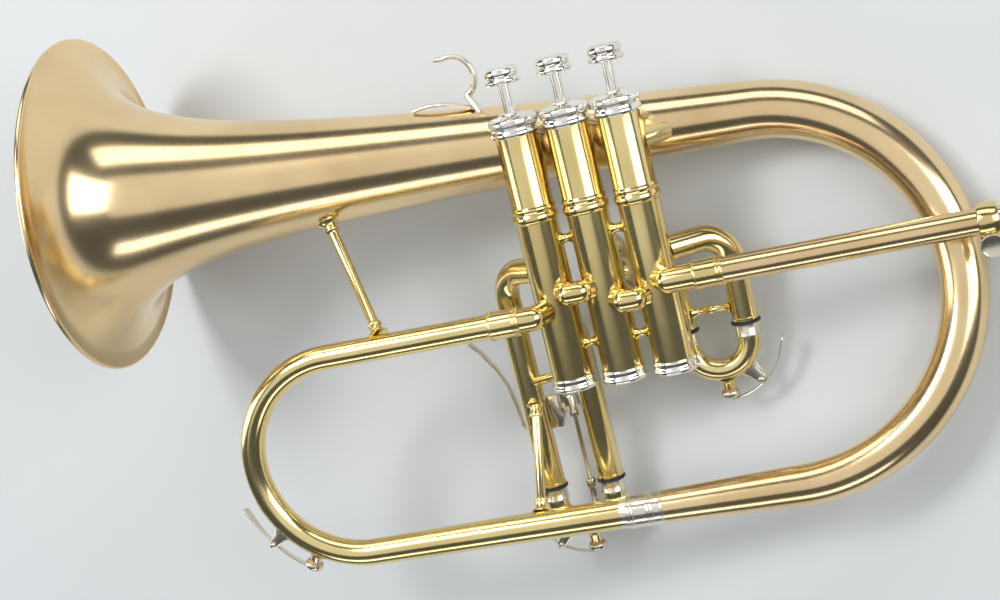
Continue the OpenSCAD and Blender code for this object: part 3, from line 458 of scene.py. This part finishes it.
def clamp():
    """The thumb screw of the leadpipe's clamp, with a knurled head."""
    head, ribs = 4.7, 22
    outline = [(0, -5.6), (1.5, -5.6), (1.5, 4.3), (2.2, 4.3), (2.2, 5), (head, 6), (head + 0.3, 6.4),
        (head + 0.3, 7.2), (head, 7.6), (2.6, 7.0), (0, 7.2)]
    piece("thumb_screw", turned(outline, CLAMP_SCREW, (0, -1, 0)), "clamp_screw", "nickel_silver",
        ["clamp_screw"], 0.1)
    rim = []
    for k in range(ribs):
        a = 2 * pi * k / ribs
        place = CLAMP_SCREW + (head + 0.22) * Vector((cos(a), 0, sin(a)))
        rim.append(rod(place - Vector((0, 6.25, 0)), place - Vector((0, 7.35, 0)), 0.16, 8))
    piece("thumb_screw_knurl", joined(rim), "clamp_screw", "nickel_silver")


# ---------------------------------------------------------------- valves
GUIDE_Z, CASING_BORE, CASING_BOTTOM, CASING_TOP = 79, 8.6, 1.4, 118.4
CAP_BORE = 9.44
BUTTON_Z, BUTTON_R, STEM_R, STROKE = 137, 8, 2.5, 12.8
FELT_Z = BUTTON_Z - STROKE


def casing(i):
    r = CASING_R
    bead = [(r, -3.6), (r + 0.5, -3.2), (r + 0.85, -2.2), (r + 0.9, -1.1), (r + 0.6, 0.2), (r + 0.15, 0.8),
        (r + 0.15, 1.2), (r + 0.5, 1.6), (r + 0.62, 2.4), (r + 0.5, 3.2), (r + 0.1, 3.7), (r, 4)]
    outline = [(CASING_BORE, CASING_BOTTOM), (r, CASING_BOTTOM)] + [(a, GUIDE_Z + b) for a, b in bead]
    outline += [(r, CASING_TOP), (CASING_BORE, CASING_TOP)]
    piece(f"valve_casing_{i}", turned(outline, (VALVE_X[i], 0, 0), (0, 0, 1), 128), "root",
        "yellow_brass", [f"casing_{i}"], 0, 45)


def knurl(x, z0, z1, radius, count):
    """Short upright ribs round a cap."""
    ribs = []
    for k in range(count):
        a = 2 * pi * k / count
        c, s = radius * cos(a), radius * sin(a)
        ribs.append(rod((x + c, s, z0), (x + c, s, z1), 0.22, 8))
    return ribs


def top_cap(i):
    outline = [(CAP_BORE, 114.2), (10.1, 114.2), (10.35, 114.5), (10.4, 115.4), (10.3, 116.3),
        (9.9, 116.8), (9.9, 117.8), (10.6, 118.2), (10.85, 118.7), (10.85, 121.3), (10.6, 121.7),
        (10, 122.1), (9.2, 122.7), (6.2, 123.1), (5.6, FELT_Z - 0.8), (5.2, FELT_Z - 0.2),
        (4.7, FELT_Z - 0.2), (4.7, FELT_Z - 1.3), (STEM_R + 0.3, FELT_Z - 1.3), (STEM_R + 0.3, 121),
        (7.6, 120.6), (7.6, 118.6), (CAP_BORE, 118.6)]
    shapes = [turned(outline, (VALVE_X[i], 0, 0), (0, 0, 1), 128)]
    shapes += knurl(VALVE_X[i], 118.9, 121.1, 10.85, 72)
    return joined(shapes)


def bottom_cap(i):
    outline = [(1.6, -1.9), (5.5, -1.9), (6.2, -1.65), (9.2, -1.6), (10.0, -1.3), (10.5, -0.6),
        (10.6, 0.1), (10.5, 0.7), (10.2, 1.1), (9.9, 1.4), (9.85, 2.6), (10.0, 3.0), (10.0, 4.0),
        (9.7, 4.4), (CAP_BORE, 4.4), (CAP_BORE, CASING_BOTTOM), (CASING_BORE, CASING_BOTTOM),
        (8.5, 0.1), (1.6, 0.1)]
    return turned(outline, (VALVE_X[i], 0, 0), (0, 0, 1), 128)


def button(i):
    r = BUTTON_R
    outline = [(1.62, 0), (r - 1.1, 0), (r - 0.4, 0.25), (r - 0.05, 0.9), (r, 1.5), (r - 0.3, 2.2),
        (r - 1.0, 2.65), (r - 1.2, 2.9), (r - 1.0, 3.2), (r - 0.6, 3.6), (r - 0.45, 4.6), (r - 0.5, 5.7),
        (r - 0.9, 6.5), (r - 1.5, 6.88), (r - 2.2, 6.7), (r - 2.7, 6.2), (r - 4, 5.9), (0, 5.7),
        (0, 3.1), (1.62, 3.1)]
    piece(f"finger_button_{i}", turned(outline, (VALVE_X[i], 0, BUTTON_Z)), f"valve_{i}", "nickel",
        [f"button_{i}"], 0, 60)


def stem(i):
    outline = [(0, 105.1), (2, 105.1), (2, 109.1), (4.2, 109.1), (4.2, 110.4), (3.4, 110.9),
        (STEM_R, 111.4), (STEM_R, BUTTON_Z - 0.05), (1.6, BUTTON_Z - 0.05), (1.6, BUTTON_Z + 3),
        (0, BUTTON_Z + 3)]
    piece(f"valve_stem_{i}", turned(outline, (VALVE_X[i], 0, 0), (0, 0, 1), 64), f"valve_{i}", "nickel",
        [f"stem_{i}"], 0.05)


def valve_spring(i):
    """A coil between the fixed guide and the barrel's roof, drawn at one length in every pose."""
    low, high, radius, count = GUIDE_Z + 3.5, 105.5, 5, 168
    path = [Vector((VALVE_X[i] + radius * cos(pi * k / 14), radius * sin(pi * k / 14),
        low + (high - low) * k / count)) for k in range(count + 1)]
    coil = piece(f"valve_spring_{i}", swept(path, (0, 0, 1), [0.38] * len(path), None, 10), "root", "steel",
        ["valve_springs"], 0, 60)
    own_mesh(coil)


def valves():
    for i in (1, 2, 3):
        casing(i)
        stem(i)
        button(i)
        valve_spring(i)
    piece("valve_top_caps", joined([top_cap(i) for i in VALVE_X]), "root", "nickel", ["top_caps"], 0, 45)
    piece("valve_bottom_caps", joined([bottom_cap(i) for i in VALVE_X]), "root", "nickel",
        ["bottom_caps"], 0, 45)


def spacers():
    """The small waisted posts between neighbouring casings."""
    outline = [(0, -3.2), (3.9, -3.2), (3.6, -2.7), (2.3, -1.5), (1.9, -0.6), (1.9, 0.6), (2.3, 1.5),
        (3.6, 2.7), (3.9, 3.2), (0, 3.2)]
    shapes = [turned(outline, (x, 0, z), (1, 0, 0), 48) for x in (-BETWEEN, BETWEEN) for z in (17.9, 65.6)]
    piece("valve_spacers", joined(shapes), "root", "yellow_brass", ["casing_spacers"], 0, 60)


def capsule(x, z, half, radius, y):
    """The rounded outside of a short crossover between two casings."""
    outline = [(0, -half - radius)]
    outline += [(radius * sin(a), -half - radius * cos(a)) for a in QUARTER[1:]]
    outline += [(radius * cos(a), half + radius * sin(a)) for a in QUARTER[:-1]]
    outline.append((0, half + radius))
    return turned(outline, (x, y, z), (1, 0, 0), 64)


def crossovers():
    """The air's two short ways from casing to casing, on the horn's front."""
    shapes = []
    for x, z in ((BETWEEN, 35.6), (-BETWEEN, 43.1)):
        shapes.append(capsule(x, z, 2.7, 5.1, -11.2))
        for side in (-1, 1):
            shapes.append(rod((x + side * 6.4, -7.0, z), (x + side * 3.2, -10.4, z), 4.3, 64))
    piece("valve_crossovers", joined(shapes), "root", "yellow_brass", ["crossovers"], 0, 60)


def front_elbow(name, valve, dome_x, end_x, z):
    """A tube along x with a round end, and its short neck out of the casing's front."""
    way = 1 if end_x > dome_x else -1
    dome_r, hollow_r, length = 5.45, 4.85, abs(end_x - dome_x)
    outline = [(dome_r * sin(a), -dome_r * cos(a)) for a in QUARTER] + [(5.5, 0.3), (5.5, length)]
    outline += [(BORE_R, length), (hollow_r, 0)]
    outline += [(hollow_r * sin(a), -hollow_r * cos(a)) for a in QUARTER[-2::-1]]
    dome = Vector((dome_x, FRONT_Y, z))
    base = Vector((VALVE_X[valve], 0, z))
    neck = rod(base + (CASING_R - 0.6) * (dome - base).normalized(), dome, 5.25, 64)
    piece(f"{name}_knuckle", joined([turned(outline, dome, (way, 0, 0)), neck]), "root", "yellow_brass",
        [f"{name}_elbow"], 0, 50)


# ---------------------------------------------------------------- slides
# legs: each leg's x; crook and ring: their heights; high: the heights of the two stubs out of the casing;
# tops: how high each inner tube reaches
FIRST = {"legs": (26.9, 54.6), "crook": 4.4, "ring": 10.8, "valve": 1, "high": (31, 51.6),
    "tops": (20, 34)}
THIRD = {"legs": (-48.6, -21.2), "crook": -56.8, "ring": -50.4, "valve": 3, "high": (22, 53),
    "tops": (30, 10)}
ELBOW_R, KNUCKLE_R = 13, 6


def outer_leg(valve, z, leg_x, end_z, bend):
    """A stub out of the casing, an elbow, and a sleeve down to the slide's rings."""
    away = Vector((leg_x - VALVE_X[valve], SLIDE_Y, 0))
    reach = away.length
    away.normalize()
    base = Vector((VALVE_X[valve], 0, z))
    centre = base + away * (reach - bend) - Vector((0, 0, bend))
    path = [base + away * (CASING_R - 1.2), base + away * (reach - bend)]
    path += [centre + bend * (away * sin(a) + Vector((0, 0, cos(a)))) for a in
        [pi / 2 * k / 20 for k in range(1, 21)]]
    path.append(Vector((leg_x, SLIDE_Y, end_z)))
    if reach - bend < CASING_R:
        path = path[1:]
    across = away.cross(Vector((0, 0, 1)))
    radii = [SLEEVE_R for p in path]
    ferrule = tube(SLEEVE_R + 0.35, SLEEVE_R - 0.1, 1.0, (leg_x, SLIDE_Y, end_z), (0, 0, 1), 64)
    return [swept_pipe(path, across, radii, SLEEVE_R - INNER_R - 0.04, 64), ferrule]


def outer_legs(spec):
    """The fixed sleeves of a side slide: one with a wide elbow, one with a tight one."""
    end_z, high = spec["ring"] + 1.2, spec["high"]
    near, far = (spec["legs"] if spec["valve"] == 1 else spec["legs"][::-1])
    return (outer_leg(spec["valve"], high[1], far, end_z, ELBOW_R)
        + outer_leg(spec["valve"], high[0], near, end_z, KNUCKLE_R))


def side_slide(name, spec):
    """A slide's inner tubes and rubber rings, which are placed; its crook, which is returned."""
    legs, crook_z, ring_z = spec["legs"], spec["crook"], spec["ring"]
    body = f"{name}_slide"
    tubes, rings = [], []
    for x, top in zip(legs, spec["tops"]):
        outline = [(BORE_R, crook_z), (5.35, crook_z), (5.7, crook_z + 0.2), (5.8, crook_z + 0.6),
            (5.7, crook_z + 1.0), (5.5, crook_z + 1.3), (5.5, ring_z - 0.9), (INNER_R, ring_z - 0.8),
            (INNER_R, top), (BORE_R, top)]
        tubes.append(turned(outline, (x, SLIDE_Y, 0), (0, 0, 1), 72))
        section = [(6.02 + 0.7 * cos(a), ring_z + 0.7 * sin(a))
            for a in [2 * pi * k / 16 for k in range(16)]]
        rings.append(turned(section, (x, SLIDE_Y, 0), (0, 0, 1), 72))
    piece(f"{name}_tubes", joined(tubes), body, "nickel_silver", [f"{name}_slide_tubes"], 0.05)
    piece(f"{name}_rings", joined(rings), body, "rubber", [f"{name}_slide_rings"], 0, 180)
    middle = (legs[0] + legs[1]) / 2
    bend = (legs[1] - legs[0]) / 2
    path = [Vector((middle + bend * cos(a), SLIDE_Y, crook_z - 0.02 + bend * sin(a)))
        for a in [pi + pi * k / 48 for k in range(49)]]
    return swept_pipe(path, (0, 1, 0), [BORE_R] * len(path), 0.5, 64)


def leg_brace(x1, x2, z):
    """A turned post across a slide's two legs."""
    half = (x2 - x1) / 2 - SLEEVE_R + 0.3
    outline = [(0, -half), (3.4, -half), (3.2, -half + 0.8), (1.9, -half + 1.9), (1.7, -half + 3),
        (1.7, -1.4), (2.1, -1.0), (2.3, 0), (2.1, 1.0), (1.7, 1.4), (1.7, half - 3), (1.9, half - 1.9),
        (3.2, half - 0.8), (3.4, half), (0, half)]
    return turned(outline, ((x1 + x2) / 2, SLIDE_Y, z), (1, 0, 0), 48)


def slides():
    piece("first_outer_legs", joined(outer_legs(FIRST) + [leg_brace(*FIRST["legs"], 18.5)]), "root",
        "yellow_brass", ["first_sleeves"], 0, 50)
    piece("third_outer_legs", joined(outer_legs(THIRD)), "root", "yellow_brass", ["third_sleeves"], 0, 50)
    for name, spec in (("first", FIRST), ("third", THIRD)):
        crook = side_slide(name, spec)
        key = KEYS[name]
        piece(f"{name}_crook", joined([crook] + nipple(key)), f"{name}_slide", "yellow_brass",
            [f"{name}_slide_crook"], 0, 50)
        piece(f"{name}_key_post", joined(cheeks(key)), f"{name}_slide", "nickel_silver", (), 0.08)


# ---------------------------------------------------------------- water keys
# Each key bends round the centre (x, y, z) of its crook: cup, pivot and tip are angles in degrees, and
# surface, lever and hinge are distances from the centre; nipple is the nipple's height.
Key = namedtuple("Key", "x y z cup pivot tip surface lever hinge nipple")
KEYS = {
    "bow": Key(SMALL_CENTRE.x, FRONT_Y, SMALL_CENTRE.z, 237, 216.5, 196, 52.6, 59.6, 59, 3.4),
    "first": Key(sum(FIRST["legs"]) / 2, SLIDE_Y, FIRST["crook"], 271, 307, 354, 18.8, 28, 25.6, 4.6),
    "third": Key(sum(THIRD["legs"]) / 2, SLIDE_Y, THIRD["crook"], 270, 233, 200, 18.65, 28, 26.6, 4.6),
}
KEY_W, CORK_H = 3.4, 2.2


def key_out(angle):
    """The direction away from a crook's centre at an angle."""
    return Vector((cos(radians(angle)), 0, sin(radians(angle))))


def key_point(key, radius, angle, side=0.0):
    return Vector((key.x, key.y + side, key.z)) + radius * key_out(angle)


def nipple(key):
    """The short spout that the cork closes."""
    outline = [(1.6, 0), (3.6, 0), (3.3, 0.5), (2.95, 1.2), (2.95, key.nipple - 0.5), (2.75, key.nipple),
        (1.6, key.nipple)]
    return [turned(outline, key_point(key, key.surface - 0.4, key.cup), key_out(key.cup), 48)]


def cheeks(key):
    """Two ears and the hinge pin that the key turns on."""
    shapes = []
    for side in (-1, 1):
        y = side * (KEY_W / 2 + 0.8)
        base = key_point(key, key.surface - 0.5, key.pivot, y)
        top = key_point(key, key.hinge, key.pivot, y)
        direction = (top - base).normalized()
        path = [base, base + direction * 0.35 * (top - base).length, top, top + direction * 1.9]
        shapes.append(swept(path, (0, 1, 0), [3.9, 2.6, 2.1, 0.7], [0.45] * 4, 20, 0.7))
    pin_a = key_point(key, key.hinge, key.pivot, -KEY_W / 2 - 1.9)
    pin_b = key_point(key, key.hinge, key.pivot, KEY_W / 2 + 1.9)
    shapes.append(rod(pin_a, pin_b, 0.85, 32))
    for point, way in ((pin_a, -1), (pin_b, 1)):
        shapes.append(turned([(0, 0), (1.25, 0), (1.25, 0.3), (0.9, 0.6), (0, 0.65)], point, (0, way, 0), 32))
    return shapes


def key_spring(name, key, body):
    """Three turns of wire round the hinge."""
    centre = key_point(key, key.hinge, key.pivot)
    path = [centre + Vector((0, -KEY_W / 2 + 0.1 + 0.062 * k, 0)) + 1.45 * key_out(360 * k / 16)
        for k in range(49)]
    piece(f"{name}_key_spring", swept(path, (0, 1, 0), [0.25] * len(path), None, 8), body, "steel",
        (), 0, 60)


def key_lever(name):
    """A water key: its lever from the cup over the hinge to the finger's tip, cork and spring."""
    key = KEYS[name]
    count = 40
    path, wide = [], []
    for k in range(count + 1):
        t = k / count
        lift = 0.0 if t < 0.85 else 0.8 * ((t - 0.85) / 0.15) ** 2
        path.append(key_point(key, key.lever + lift - 0.35, key.cup + (key.tip - key.cup) * k / count))
        w = 1.25 + 0.5 * sin(pi * min(t / 0.5, 1)) if t < 0.5 else 1.25 + 1.9 * ((t - 0.5) / 0.5) ** 1.6
        wide.append(w if t < 0.96 else w * (1 - ((t - 0.96) / 0.04) ** 2 * 0.45))
    shapes = [swept(path, (0, 1, 0), [0.42] * len(path), wide, 20, 0.6)]
    seat = key_point(key, key.surface - 0.4 + key.nipple + 0.05, key.cup)
    cup = [(3.62, 0.9), (4.15, 0.9), (4.35, 1.3), (4.35, 2.6), (4.1, 3.3), (3.3, 3.9), (2.0, 4.2),
        (0, 4.3), (0, CORK_H + 0.02), (3.62, CORK_H + 0.02)]
    shapes.append(turned(cup, seat, key_out(key.cup), 64))
    barrel = [(0.95, 0), (1.5, 0), (1.7, 0.15), (1.7, 0.7), (1.35, 0.8), (1.35, KEY_W - 0.8),
        (1.7, KEY_W - 0.7), (1.7, KEY_W - 0.15), (1.5, KEY_W), (0.95, KEY_W)]
    shapes.append(turned(barrel, key_point(key, key.hinge, key.pivot, -KEY_W / 2), (0, 1, 0), 40))
    body = f"{name}_key"
    piece(f"{name}_key_lever", joined(shapes), body, "nickel_silver", [f"{name}_key"], 0.06, 50)
    cork = [(0, 0), (3.3, 0), (3.6, 0.3), (3.6, CORK_H - 0.05), (3.5, CORK_H), (0, CORK_H)]
    piece(f"{name}_key_pad", turned(cork, seat, key_out(key.cup), 64), body, "cork",
        [f"{name}_key_cork"], 0, 50)
    key_spring(name, key, body)


def bow_key_saddle():
    key = KEYS["bow"]
    piece("bow_key_post", joined(nipple(key) + cheeks(key)), "root", "nickel_silver", ["bow_key_saddle"],
        0.06, 50)


# ---------------------------------------------------------------- braces and hook
def post(start, end, r):
    """A turned post between two points, with a foot and a collar at each end."""
    start, end = Vector(start), Vector(end)
    n = (end - start).length
    half = [(r + 2.6, 0), (r + 2.3, 0.7), (r + 1.0, 1.5), (r + 0.45, 2.2), (r + 0.4, 3.9), (r + 0.95, 4.2),
        (r + 1.15, 4.8), (r + 0.95, 5.4), (r + 0.2, 5.8), (r, 6.4)]
    outline = [(0, 0)] + half + [(a, n - b) for a, b in reversed(half)] + [(0, n)]
    return turned(outline, start, (end - start).normalized(), 64)


def braces():
    piece("bell_stay", post((-122.3, 15.4, 91.2), (-102.2, -13.2, 41.6), 2.3), "root", "yellow_brass",
        ["bell_brace"], 0, 60)


def finger_hook():
    """The little finger's hook: its loop, a tongue along the bell and a short foot behind."""
    bend = Vector((-52, 27, 141.6))
    base = Vector((-42, 24.5, 124.6))
    path = [base, base + Vector((-1.6, 0.8, 3))]
    path += [bend + 10 * Vector((cos(a), 0, sin(a))) for a in [radians(-60 + 12 * k) for k in range(15)]]
    path.append(Vector((-58.6, 27, 151.6)))
    path = smoothed(path, 3)
    n = len(path)
    wide = [1.1 + 0.5 * (1 - k / n) for k in range(n)]
    high = [max(3.6 - 1.0 * k / 6, 2.6) - 1.2 * k / n for k in range(n)]
    shapes = [swept(path, (0, 1, 0), wide, high, 24, 0.75)]
    tongue = [(-46 - 4.5 * k, 25, 127.6 + 3.2 * sin(radians(25 * k)) + 0.35 * k) for k in range(7)]
    tongue = smoothed(tongue, 4)
    n = len(tongue)
    shapes.append(swept(tongue, (0, 1, 0), [1.0 - 0.2 * k / n for k in range(n)],
        [3 - 1.5 * k / n for k in range(n)], 24, 0.75))
    foot = smoothed([(-44 + 2.5 * k, 24, 125 - 0.35 * k) for k in range(5)], 3)
    n = len(foot)
    shapes.append(swept(foot, (0, 1, 0), [1.1 - 0.4 * k / n for k in range(n)],
        [3.4 - 2.0 * k / n for k in range(n)], 24, 0.75))
    piece("little_finger_hook", joined(shapes), "root", "nickel_silver", ["finger_hook"], 0, 60)


# ---------------------------------------------------------------- carried-over nodes
BODIES = {node: body for body, nodes in frame["record"]["behaviour"]["bodies"].items() for node in nodes}
# CAD nodes shown with smooth shading, and how wide their softened edges are, in millimetres
REFINED = {"second_sleeves": 0, "second_slide": 0, "leadpipe_brace": 0.15,
    "valve_brace": 0.15, "third_brace": 0.1, "trigger_bracket": 0.15, "trigger_lever": 0.15,
    "trigger_rod": 0.08, "clamp_collar": 0.15, "bell_wire": 0}


def dress_frame():
    """Gives every CAD node its procedural material."""
    for name, thing in NODES.items():
        thing.data.materials.clear()
        thing.data.materials.append(MATERIALS[SLOTS[name]])


def refined(node, bevel):
    """A copy of a CAD node's mesh with smooth shading and softened edges, standing for it."""
    mesh = NODES[node].data.copy()
    build = bmesh.new()
    build.from_mesh(mesh)
    bmesh.ops.remove_doubles(build, verts=build.verts, dist=0.000002)
    build.to_mesh(mesh)
    build.free()
    show(f"{node}_finish", mesh, BODIES[node], SLOTS[node], [node], bevel, 35)


def trigger_spring():
    """The coil on the trigger's pivot that pushes the lever back."""
    centre = Vector((-41, SLIDE_Y + 9.5, -19.5))
    path = [centre + Vector((2.5 * cos(pi * k / 8), 3.2 + 0.05 * k, 2.5 * sin(pi * k / 8)))
        for k in range(49)]
    path.append(path[-1] + Vector((1, 0, 9)))
    piece("trigger_spring", swept(path, (0, 1, 0), [0.3] * len(path), None, 8), "root", "steel", (), 0, 60)


# ---------------------------------------------------------------- stage
def studio():
    """A plain pale floor, a dim grey world and large soft lamps."""
    scene = bpy.context.scene
    floor = bpy.data.meshes.new("floor")
    size = 4
    corners = [(-size, -size, 0), (size, -size, 0), (size, size, 0), (-size, size, 0)]
    floor.from_pydata(corners, [], [(0, 1, 2, 3)])
    ground = bpy.data.objects.new("floor", floor)
    material, tree, shader, place = node_material("floor")
    clouds = noise(tree, place, 2, 2)
    shade = ramp(tree, clouds, [(0.3, (0.63, 0.66, 0.68)), (0.7, (0.65, 0.68, 0.70))])
    tree.links.new(shade, shader.inputs["Base Color"])
    shader.inputs["Roughness"].default_value = 0.7
    floor.materials.append(material)
    scene.collection.objects.link(ground)

    world = bpy.data.worlds.new("studio")
    scene.world = world
    world.use_nodes = True
    background = world.node_tree.nodes["Background"]
    background.inputs[0].default_value = (0.52, 0.57, 0.62, 1)
    background.inputs[1].default_value = 0.16
    scene.view_settings.view_transform = "Standard"

    def softbox(name, place, target, width, height, power, colour=(1, 1, 1)):
        data = bpy.data.lights.new(name, "AREA")
        data.shape = "RECTANGLE"
        data.size, data.size_y = width, height
        data.energy = power
        data.color = colour
        light = bpy.data.objects.new(name, data)
        light.location = place
        light.rotation_euler = (Vector(target) - Vector(place)).to_track_quat("-Z", "Y").to_euler()
        scene.collection.objects.link(light)

    warm = (1, 0.985, 0.96)
    softbox("ceiling", (0.1, 0.15, 1.6), (0.1, 0.15, 0), 2.2, 1.6, 7.5, warm)
    softbox("key", (-0.55, 0.6, 1.3), (0, 0, 0), 0.6, 0.4, 10, warm)
    softbox("back", (0.1, 1.5, 0.9), (0, 0, 0), 2.2, 0.7, 10, warm)
    softbox("fill", (1.35, 0.2, 0.95), (0, 0, 0), 0.9, 1.2, 13)
    softbox("front", (-0.1, -1.5, 0.8), (0, 0, 0), 1.8, 0.4, 5, (0.97, 0.99, 1))
    softbox("bell_side", (-1.4, 0.1, 0.7), (-0.1, 0, 0), 0.5, 1.2, 5)


# Where the photo was taken from, in the horn's millimetres; yaw, pitch and roll; and the focal length in
# thousandths of the picture's width.
CAMERA_AT = Vector((169.89, -772.74, 200.82))
CAMERA_TURN = (radians(15.73), radians(11.06), radians(-13.91))
FOCAL = 1844.6


def camera():
    """The photo's own viewpoint."""
    yaw, pitch, roll = CAMERA_TURN
    forward = Vector((-sin(yaw) * cos(pitch), cos(yaw) * cos(pitch), -sin(pitch)))
    level = Vector((cos(yaw), sin(yaw), 0))
    above = level.cross(forward)
    right = cos(roll) * level + sin(roll) * above
    up = -sin(roll) * level + cos(roll) * above
    data = bpy.data.cameras.new("camera")
    data.sensor_width = 36
    data.lens = FOCAL * data.sensor_width / 1000
    data.clip_start, data.clip_end = 0.01, 20
    eye = bpy.data.objects.new("camera", data)
    bpy.context.scene.collection.objects.link(eye)
    turn = TURN @ Matrix((right, up, -forward)).transposed()
    eye.matrix_world = Matrix.Translation(HORN @ CAMERA_AT) @ turn.to_4x4()
    bpy.context.scene.camera = eye


camera()
dress_frame()
bell()
bell_ferrule()
main_bow()
small_bow()
ferrules()
leadpipe()
clamp()
valves()
spacers()
crossovers()
front_elbow("inlet", 1, 30.6, 47, INLET_Z)
front_elbow("outlet", 3, -30.6, -44.9, OUTLET_Z)
slides()
for key_name in KEYS:
    key_lever(key_name)
bow_key_saddle()
braces()
finger_hook()
for node, edge in REFINED.items():
    refined(node, edge)
trigger_spring()
studio()
